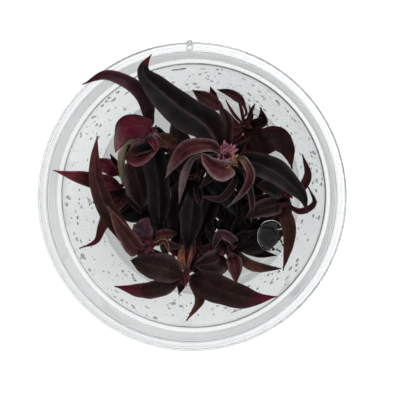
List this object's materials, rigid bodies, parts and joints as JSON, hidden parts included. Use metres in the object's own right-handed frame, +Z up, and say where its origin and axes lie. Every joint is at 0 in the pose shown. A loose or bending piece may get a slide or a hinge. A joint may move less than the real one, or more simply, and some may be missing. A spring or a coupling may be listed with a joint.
{
  "type": "aquarium plant in a clear cup",
  "caption": "Dark red Alternanthera reineckii plantlets with lance-shaped leaves, rooted in clear gel in an open, clear plastic tissue culture cup.",
  "frame": {"origin": "centre of the cup's flat base, on the surface that the cup stands on", "axes": "+Z up along the cup's axis, +Y towards the tear notch of the flange, +X to the right"},
  "size_m": [0.1, 0.1013, 0.0713],
  "materials": {
    "cup": "clear, smooth moulded plastic with condensation inside",
    "gel": "clear, wet growing gel with a faint green-grey tint",
    "gel_drop": "clear, wet drop of gel",
    "stem_brown": "soft red-brown stem, satin",
    "stem_tan": "soft pale tan-green stem, satin",
    "leaf_dark": "near-black maroon leaf with a soft grey sheen and veins",
    "leaf_maroon": "dark maroon leaf with pale mauve edges and veins",
    "leaf_red": "translucent deep red leaf with veins",
    "leaf_pink": "young pink-magenta leaf with pale edges",
    "leaf_brown": "olive-brown leaf, satin"
  },
  "bodies": {
    "root": {"cup": "cup", "gel": "gel", "gel_drop": "gel_drop", "stem_top": "stem_brown", "stem_west": "stem_tan", "stem_south_west": "stem_brown", "stem_south": "stem_brown", "stem_south_east": "stem_brown", "stem_east": "stem_brown", "stem_north_east": "stem_brown", "stem_middle": "stem_brown", "leaf_top_long": "leaf_dark", "leaf_top_broad": "leaf_dark", "leaf_top_north": "leaf_dark", "leaf_top_arching": "leaf_maroon", "leaf_top_cupped": "leaf_pink", "leaf_top_curled": "leaf_maroon", "leaf_top_short": "leaf_maroon", "leaf_top_low_south": "leaf_dark", "leaf_top_low_east": "leaf_dark", "leaf_west_long": "leaf_dark", "leaf_west_hood": "leaf_red", "leaf_west_cupped": "leaf_red", "leaf_west_hanging": "leaf_maroon", "leaf_west_red": "leaf_red", "leaf_west_tailed": "leaf_maroon", "leaf_west_small": "leaf_red", "leaf_south_west_long": "leaf_dark", "leaf_south_west_maroon": "leaf_maroon", "leaf_south_west_round": "leaf_pink", "leaf_south_west_curl": "leaf_maroon", "leaf_south_west_upright": "leaf_dark", "leaf_south_long": "leaf_dark", "leaf_south_blunt": "leaf_dark", "leaf_south_pointed": "leaf_maroon", "leaf_south_tip": "leaf_red", "leaf_south_inner": "leaf_dark", "leaf_south_east_arched": "leaf_maroon", "leaf_south_east_inner": "leaf_dark", "leaf_south_east_broad": "leaf_maroon", "leaf_south_east_pale": "leaf_maroon", "leaf_south_east_brown": "leaf_brown", "leaf_south_east_dark": "leaf_dark", "leaf_south_east_low": "leaf_dark", "leaf_east_hanging": "leaf_brown", "leaf_east_crescent": "leaf_maroon", "leaf_east_loop": "leaf_maroon", "leaf_east_inner": "leaf_maroon", "leaf_east_dark": "leaf_dark", "leaf_north_east_high": "leaf_red", "leaf_north_east_left": "leaf_maroon", "leaf_north_east_under": "leaf_maroon", "leaf_north_east_broad": "leaf_dark", "leaf_north_east_small": "leaf_brown", "leaf_north_east_low": "leaf_maroon", "leaf_middle_south": "leaf_dark", "leaf_middle_south_west": "leaf_dark", "leaf_middle_east": "leaf_dark", "leaf_middle_north": "leaf_dark", "leaf_middle_low": "leaf_dark"}
  },
  "joints": []
}
